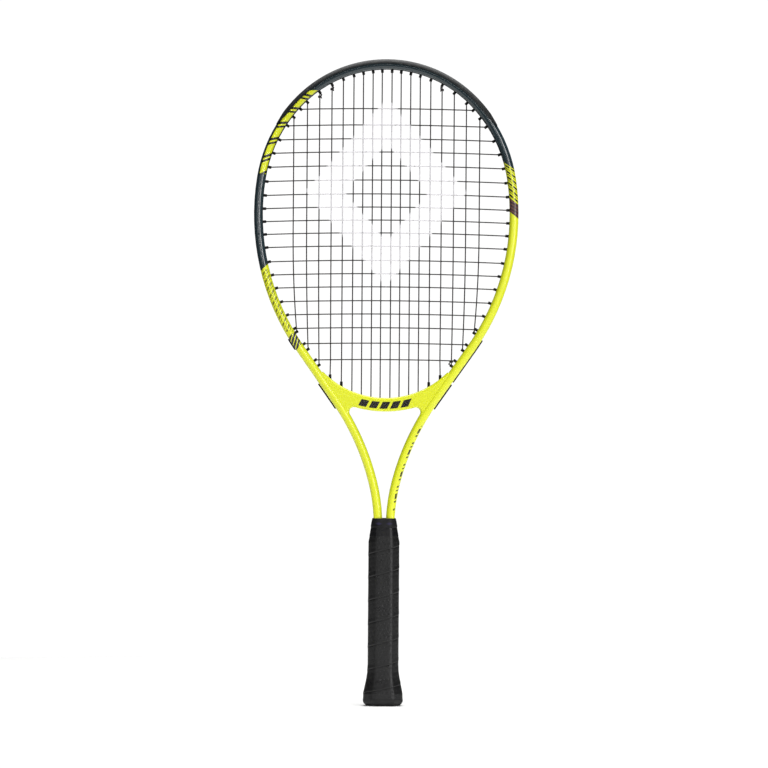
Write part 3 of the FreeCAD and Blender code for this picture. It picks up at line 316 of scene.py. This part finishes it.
def yoke_paint():
    """The moulded throat piece: yellow, with painted shade darkening its inner sides, and plain
    slanted marks.
    """
    g = Graph("yoke_moulded_gloss")
    _, out = g.arc(*YOKE_ARC)
    mottle = g.noise(45, 4) * 0.6 + g.noise(700, 2) * 0.4
    colour = g.mix(mottle, "dee51a", "ebf12c")
    # Painted shade on the sides that face the inside of the hoop.
    colour = g.mix(inner_painted_shade(g) * 0.5, colour, YELLOW_PAINTED_SHADE)
    lean = g.x + (out + YOKE_MARK_MIDDLE * MM) * 0.5
    phase = (lean / (YOKE_MARK_PITCH * MM) + 0.5).fract()
    band = lean.size().below(YOKE_MARKS / 2 * YOKE_MARK_PITCH * MM, EDGE)
    band = band * (0.0 - out).between(YOKE_MARK_LIMITS[0] * MM, YOKE_MARK_LIMITS[1] * MM, EDGE)
    face = g.y.size().above(YOKE_FACE, 0.3 * MM)
    marks = phase.between(*YOKE_MARK_SHARE, EDGE / (YOKE_MARK_PITCH * MM)) * band * face
    colour = g.mix(marks, colour, INK)
    roughness = g.noise(80, 4) * 0.12 + 0.2
    return g.finish(colour, roughness, g.noise(800, 2), 0.00004,
                    coat_weight=0.35, coat_roughness=0.1)


def string_look(name, streak):
    """Dark nylon with a white stencilled ring of lozenge shape in the middle of the bed."""
    g = Graph(name)
    _, ny, _ = g.normal()
    ring = g.x.size() / STENCIL_REACH[0] + (g.z - STENCIL_MIDDLE).size() / STENCIL_REACH[1]
    ragged = (g.noise(300, 3) - 0.5) * 0.08
    ink = (ring + ragged).between(STENCIL_HOLE, 1.0, 0.03) * ny.size().above(0.2, 0.3)
    ink = ink * g.noise(900, 3).above(0.33, 0.12)
    base = g.mix(g.noise(1200, 3, streak), "0e0b0c", "261f22")
    colour = g.mix(ink * 0.92, base, "e6e4e8")
    roughness = g.noise(500, 3) * 0.15 + ink * 0.3 + 0.25
    return g.finish(colour, roughness, g.noise(2500, 2, streak), 0.00003)


def nylon_look(name, dark, light, gloss, scuffs=0.0, channel_shade=0.0):
    """Moulded nylon: fine grain, faint flow marks, pale scuffs, and painted shade: a near-black
    band over the string channel and the barrel of each string, near the mid plane.
    """
    g = Graph(name)
    colour = g.mix(g.noise(180, 5), dark, light)
    worn = g.noise(260, 8, (0.6, 0.6, 1)).above(0.62, 0.08) * g.z.above(SCUFF_START, 60 * MM)
    colour = g.mix(worn * scuffs, colour, "77786f")
    # Painted shade: near black within the barrel reach of the mid plane, over the string channel
    # and the barrel of each string.
    channel_shade_mask = g.y.size().below(BARREL_SPREAD, 0.2 * MM) * channel_shade
    colour = g.mix(channel_shade_mask, colour, "020203")
    grain = g.noise(2600, 3) + g.cells(1500) * 0.4
    roughness = g.noise(140, 4) * 0.2 + worn * scuffs * 0.3 + channel_shade_mask * 0.25 + gloss
    return g.finish(colour, roughness, grain, 0.00005, specular_ior_level=0.3)


def foam_look():
    """Pallet foam, hidden under the wrap: closed cells with a moulded skin."""
    g = Graph("pallet_foam")
    cells = g.cells(900)
    return g.finish(g.mix(cells, "2c2c2b", "4a4845"), cells * 0.2 + 0.65, cells, 0.0002)


def steel_look():
    g = Graph("staple_wire")
    streak = g.noise(900, 4, (1, 1, 0.2))
    colour = g.mix(streak, "8d8f92", "c0c2c4")
    return g.finish(colour, streak * 0.2 + 0.25, streak, 0.00002, metallic=1.0)


# ---------------------------------------------------------------- the wrapped grip

AROUND = 264                 # points round a sleeve
WRAP_PITCH = 24.5 * MM       # how far the strip climbs in one turn
HOLE_PITCH = 4.4 * MM        # between perforations along the strip
HOLE_ROWS = 4
MEAN_RADIUS = 16.4 * MM
FLARE = ((7, 1.0), (13, 0.97), (20, 0.67), (28, 0.32), (36, 0.08), (44, 0.0))
SHOULDER, TAPE_BOTTOM, TOP = 174, 180, 189
WRAP_HOLE = 0.75 * MM        # radius of a perforation's dimple
BEVEL_SHRINK = 2 - math.sqrt(2)       # how much a bevel narrows when its octagon shrinks by one
BODY, FLARE_GROWTH = (33, 30, 7.5), (9.5, 9.5, 1.8)     # the grip's width, depth and bevel
TOP_SIZE = (27.4, 27.4, 5.58)
LEGS = (22, 22, 4.0)                    # the two tube legs together
WRAP_CORNERS, TAPE_CORNERS, COLLAR_CORNERS = 22, 20, 16     # the higher, the sharper
WRAP_SINK, WRAP_INSIDE = 0.12, 1.9      # the wrap's skins, under the grip's outside
TAPE_RISE, TAPE_INSIDE = 0.12, 0.02     # the tape's skins, above it
RING_STEP, TAPE_STEP = 0.5, 0.22
# The collar from its lower edge over the lip at its top and down its inside: height and growth
# over the tube legs.
COLLAR_FORM = ((189.0, 0.06), (189.0, 2.7), (189.3, 2.95), (190.4, 3.15), (191.5, 2.98),
               (193.3, 2.68), (195.5, 2.26), (197.2, 1.9), (197.7, 1.86), (198.1, 1.62),
               (198.6, 1.44), (198.9, 1.2), (198.98, 0.9), (198.9, 0.5), (198.5, 0.06))


def grip_size(height):
    """Width, depth and bevel of the wrapped handle at a height, all in millimetres."""
    full = [(z, *(size + more * s for size, more in zip(BODY, FLARE_GROWTH))) for z, s in FLARE]
    full += [(SHOULDER, *BODY), (TOP, *TOP_SIZE)]
    for low, high in zip(full, full[1:]):
        if height <= high[0]:
            share = (height - low[0]) / (high[0] - low[0])
            return [a + (b - a) * share for a, b in zip(low[1:], high[1:])]
    return full[-1][1:]


def octagon_reach(angle, width, depth, bevel, sharp):
    """Distance from the axis to a rounded octagon's surface, in a direction."""
    c, s = abs(math.cos(angle)), abs(math.sin(angle))
    sides = (2 * c / width, 2 * s / depth, (c + s) / (width / 2 + depth / 2 - bevel))
    return sum(side ** sharp for side in sides) ** (-1 / sharp)


def ring(height, size, sharp, relief=None):
    """Points round a rounded octagon at a height, moved out by a relief; all in millimetres."""
    spots = []
    for i in range(AROUND):
        angle = 2 * math.pi * i / AROUND
        reach = octagon_reach(angle, *size, sharp)
        if relief:
            reach += relief(angle, height)
        spots.append(Vector((math.cos(angle) * reach, math.sin(angle) * reach, height)) * MM)
    return spots


def inset(size, amount):
    width, depth, bevel = size
    return width - 2 * amount, depth - 2 * amount, bevel - BEVEL_SHRINK * amount


def sleeve(name, rings):
    """Closed skin through rings of points, the last ring joined to the first."""
    mesh = bpy.data.meshes.new(name)
    work = bmesh.new()
    made = [[work.verts.new(spot) for spot in spots] for spots in rings]
    for first, second in zip(made, made[1:] + made[:1]):
        for i in range(AROUND):
            j = (i + 1) % AROUND
            work.faces.new((first[i], first[j], second[j], second[i]))
    for face in work.faces:
        face.smooth = True
    bmesh.ops.recalc_face_normals(work, faces=work.faces)
    work.to_mesh(mesh)
    work.free()
    piece = bpy.data.objects.new(name, mesh)
    bpy.context.scene.collection.objects.link(piece)
    return piece


def wrap_relief(angle, height):
    """How far the wrap stands out, in millimetres: ridges, a crease below each, and holes."""
    turn = (height * MM / WRAP_PITCH - angle / (2 * math.pi)) % 1.0
    up = turn * WRAP_PITCH / MM
    down = WRAP_PITCH / MM - up
    relief = 0.32 * math.exp(-up / 2.6) * min(1.0, up / 0.5) - 0.45 * math.exp(-(down / 0.7) ** 2)
    rows = turn * (HOLE_ROWS + 1)
    row = min(max(round(rows), 1), HOLE_ROWS)
    across = (rows - row) / (HOLE_ROWS + 1) * WRAP_PITCH
    along = angle * MEAN_RADIUS / HOLE_PITCH + 0.5 * (row % 2)
    along = (along - round(along)) * HOLE_PITCH
    distance = math.hypot(across, along) / WRAP_HOLE
    if distance < 1:
        relief -= 0.4 * (0.5 + 0.5 * math.cos(math.pi * distance))
    above_start = (height - FLARE[0][0]) / 2.5
    under_tape = max(0.0, (TAPE_BOTTOM - 0.7 - height) / 1.5)
    return relief * min(1.0, above_start, under_tape)


def heights(low, high, step):
    count = round((high - low) / step)
    return [low + (high - low) * i / count for i in range(count + 1)]


def make_wrap():
    """The spiral grip strip round the handle."""
    low, high = FLARE[0][0] + 0.02, TOP - 0.05
    outside = [ring(z, inset(grip_size(z), WRAP_SINK), WRAP_CORNERS, wrap_relief)
               for z in heights(low, high, RING_STEP)]
    inside = [ring(z, inset(grip_size(z), WRAP_INSIDE), WRAP_CORNERS)
              for z in (high, SHOULDER, 100, 44, 36, 28, 20, 13, low)]
    return sleeve("grip_wrap", outside + inside)


def tape_relief(angle, height):
    """Two turns of tape, each edge a small step, and the ripples of tape pulled round corners."""
    ripple = 0.03 * math.sin(5 * angle + height * 1.7) * math.sin(height * 2.3)
    turns = (height - TAPE_BOTTOM) / 4.2 - angle / (2 * math.pi)
    return ripple + (0.1 if turns > 0.55 else 0.0)


def make_tape():
    low, high = TAPE_BOTTOM + 0.03, TOP
    outside = [ring(z, inset(grip_size(z), -TAPE_RISE), TAPE_CORNERS, tape_relief)
               for z in heights(low, high, TAPE_STEP)]
    inside = [ring(z, inset(grip_size(z), -TAPE_INSIDE), TAPE_CORNERS) for z in (high, low)]
    return sleeve("tape_turns", outside + inside)


def make_collar():
    """Rubber collar over both legs: a belly at the bottom and a beaded lip on top."""
    rings = [ring(z, inset(LEGS, -growth), COLLAR_CORNERS) for z, growth in COLLAR_FORM]
    return sleeve("collar_moulding", rings)


def wrap_look():
    """Soft synthetic leather: fine grain, with painted shade darkening the perforations and the
    crease at each seam of the spiral.
    """
    g = Graph("grip_wrap_leather")
    angle = g.math("ARCTAN2", g.y, g.x)
    turn = (g.z / WRAP_PITCH - angle / (2 * math.pi)).fract()
    rows = turn * (HOLE_ROWS + 1)
    row = g.math("MINIMUM", g.math("MAXIMUM", g.math("ROUND", rows), 1), HOLE_ROWS)
    across = (rows - row) * (WRAP_PITCH / (HOLE_ROWS + 1))
    odd = g.math("MODULO", row, 2) * 0.5
    step = angle * (MEAN_RADIUS / HOLE_PITCH) + odd
    along = (step - g.math("ROUND", step)) * HOLE_PITCH
    distance = g.math("SQRT", across * across + along * along)
    hole = distance.below(0.45 * MM, 0.3 * MM)
    seam_crease_shade = turn.above(1 - 0.035, 0.02)
    grain = g.cells(1300) * 0.6 + g.noise(2200, 3) * 0.6
    tone = g.noise(55, 5) * 0.6 + g.noise(700, 3) * 0.4
    colour = g.mix(tone, "0b0b0b", "161617")
    # Painted shade: darker in each perforation and along the crease at the seam of the spiral.
    colour = g.mix(hole, colour, "040404")
    colour = g.mix(seam_crease_shade * 0.7, colour, "070707")
    polished = g.noise(30, 3)
    hand = g.noise(150, 5).above(0.58, 0.16)        # patches worn smooth
    roughness = polished * 0.12 + grain * 0.06 + hole * 0.3 + 0.3 - hand * 0.12
    return g.finish(colour, roughness, grain - hole * 2.0, 0.00012, specular_ior_level=0.36)


def collar_look():
    """Black rubber with a dusty bloom and two plain dull lozenges on each face."""
    g = Graph("collar_rubber")
    colour = g.mix(g.noise(180, 5), "08080a", "121216")
    bloom = g.noise(90, 6).above(0.56, 0.2)
    colour = g.mix(bloom * 0.25, colour, "2a2a2e")
    spot = (g.x.size() - 5.6 * MM).size() / (3.4 * MM) + (g.z - 193.3 * MM).size() / (1.5 * MM)
    mark = spot.below(1.0, 0.25) * g.y.size().above(10 * MM, MM)
    colour = g.mix(mark * 0.8, colour, "262040")
    grain = g.noise(2600, 3) + g.cells(1500) * 0.4
    return g.finish(colour, g.noise(140, 4) * 0.2 + 0.42, grain, 0.00005, specular_ior_level=0.25)


# ---------------------------------------------------------------- dress the frame

LOOKS = {
    "frame_tube": tube_paint(),
    "throat_yoke": yoke_paint(),
    "main_string": string_look("string_main_nylon", (1, 1, 0.05)),
    "cross_string": string_look("string_cross_nylon", (0.05, 1, 1)),
    "bumper_guard": nylon_look("guard_nylon", "090b0c", "14181a", 0.36, 0.14, 1.0),
    "grommet_strip_left": nylon_look("strip_nylon", "0a0a0b", "161617", 0.36, channel_shade=1.0),
    "butt_cap": nylon_look("cap_rubber", "101011", "222223", 0.42),
    "butt_badge": nylon_look("badge_plastic", "b9c21c", "d6df28", 0.25),
    "handle_pallet_front": foam_look(),
    "cap_staples": steel_look(),
}
SAME_LOOK = {
    "grommet_strip_left": ("grommet_strip_right", "shoulder_grommet_left", "shoulder_grommet_right",
                           "throat_grommet_strip"),
    "main_string": ("main_knot_left", "main_knot_right"),
    "cross_string": ("cross_start_knot", "cross_end_knot"),
    "handle_pallet_front": ("handle_pallet_back",),
    "cap_staples": ("grip_tack",),
}


def wear(piece, material):
    piece.data.materials.clear()
    piece.data.materials.append(material)


for name, material in LOOKS.items():
    for node in (name,) + SAME_LOOK.get(name, ()):
        wear(NODES[node], material)

for piece, material, node, slot in (
        (make_wrap(), wrap_look(), "base_grip", "grip_wrap"),
        (make_tape(), nylon_look("tape_vinyl", "08080a", "131316", 0.24), "finishing_tape", "tape"),
        (make_collar(), collar_look(), "grip_collar", "collar_rubber")):
    wear(piece, material)
    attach(piece, "root")
    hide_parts(node)


# ---------------------------------------------------------------- floor, light and camera

FLOOR_RADIUS = 1.1
SURROUND, BACKDROP = 0.04, 1.05         # brightness of what is reflected and of what is seen
SENSOR = 36
ROLL = 0.41                             # degrees


def make_floor():
    mesh = bpy.data.meshes.new("floor")
    work = bmesh.new()
    bmesh.ops.create_circle(work, cap_ends=True, segments=96, radius=FLOOR_RADIUS)
    work.to_mesh(mesh)
    work.free()
    floor = bpy.data.objects.new("floor", mesh)
    bpy.context.scene.collection.objects.link(floor)
    g = Graph("studio_floor")
    wear(floor, g.finish(g.mix(g.noise(6, 3), "f6f6f5", "fbfbfb"), 0.9))


# Name, place, target, width and height, and power of each lamp.
LIGHTS = (("strip_front_left", (-0.19, -3.4, 0.62), (-0.12, 0, 0.52), (0.12, 0.28), 2.4),
          ("strip_front_right", (0.2, -3.4, 0.66), (0.12, 0, 0.55), (0.08, 0.3), 0.5),
          ("key_front_right", (1.35, -2.7, 0.95), (0, 0, 0.36), (0.7, 1.3), 36),
          ("fill_front_left", (-1.5, -2.7, 0.8), (0, 0, 0.36), (0.8, 1.0), 5),
          ("side_right", (2.0, -2.0, 0.17), (0, 0, 0.15), (0.14, 0.5), 8),
          ("top", (0.2, 0.2, 2.2), (0.2, 0.2, 0), (2.4, 2.4), 84))


def softbox(name, place, target, size, power):
    data = bpy.data.lights.new(name, "AREA")
    data.shape = "RECTANGLE"
    data.size, data.size_y = size
    data.energy = power
    lamp = bpy.data.objects.new(name, data)
    lamp.location = place
    lamp.rotation_mode = "QUATERNION"
    lamp.rotation_quaternion = (Vector(place) - Vector(target)).to_track_quat("Z", "Y")
    bpy.context.scene.collection.objects.link(lamp)


def make_world():
    """White behind the object, and a dimmer even surround for what it reflects."""
    world = bpy.data.worlds.new("studio")
    world.use_nodes = True
    tree = world.node_tree
    surround = tree.nodes["Background"]
    surround.inputs["Color"].default_value = (1, 1, 1, 1)
    surround.inputs["Strength"].default_value = SURROUND
    seen = tree.nodes.new("ShaderNodeBackground")
    seen.inputs["Strength"].default_value = BACKDROP
    seen.inputs["Color"].default_value = (1, 1, 1, 1)
    path = tree.nodes.new("ShaderNodeLightPath")
    mix = tree.nodes.new("ShaderNodeMixShader")
    tree.links.new(path.outputs["Is Camera Ray"], mix.inputs[0])
    tree.links.new(surround.outputs[0], mix.inputs[1])
    tree.links.new(seen.outputs[0], mix.inputs[2])
    tree.links.new(mix.outputs[0], tree.nodes["World Output"].inputs[0])
    bpy.context.scene.world = world


def make_camera():
    """A long lens straight on to the racket's face, rolled a little as in the picture."""
    roll = math.radians(ROLL)
    data = bpy.data.cameras.new("camera")
    data.sensor_width = SENSOR
    distance, view_width = 6.0, 0.8153
    data.lens = SENSOR * distance / view_width
    data.clip_end = 50
    camera = bpy.data.objects.new("camera", data)
    right = Vector((math.cos(roll), 0, math.sin(roll)))
    up = Vector((-math.sin(roll), 0, math.cos(roll)))
    turn = Matrix((right, up, right.cross(up))).transposed().to_4x4()
    camera.matrix_world = Matrix.Translation((-0.0011, -distance, 0.3413)) @ turn
    bpy.context.scene.collection.objects.link(camera)
    bpy.context.scene.camera = camera


make_floor()
make_world()
for lamp in LIGHTS:
    softbox(*lamp)
make_camera()
bpy.context.scene.view_settings.view_transform = "Standard"
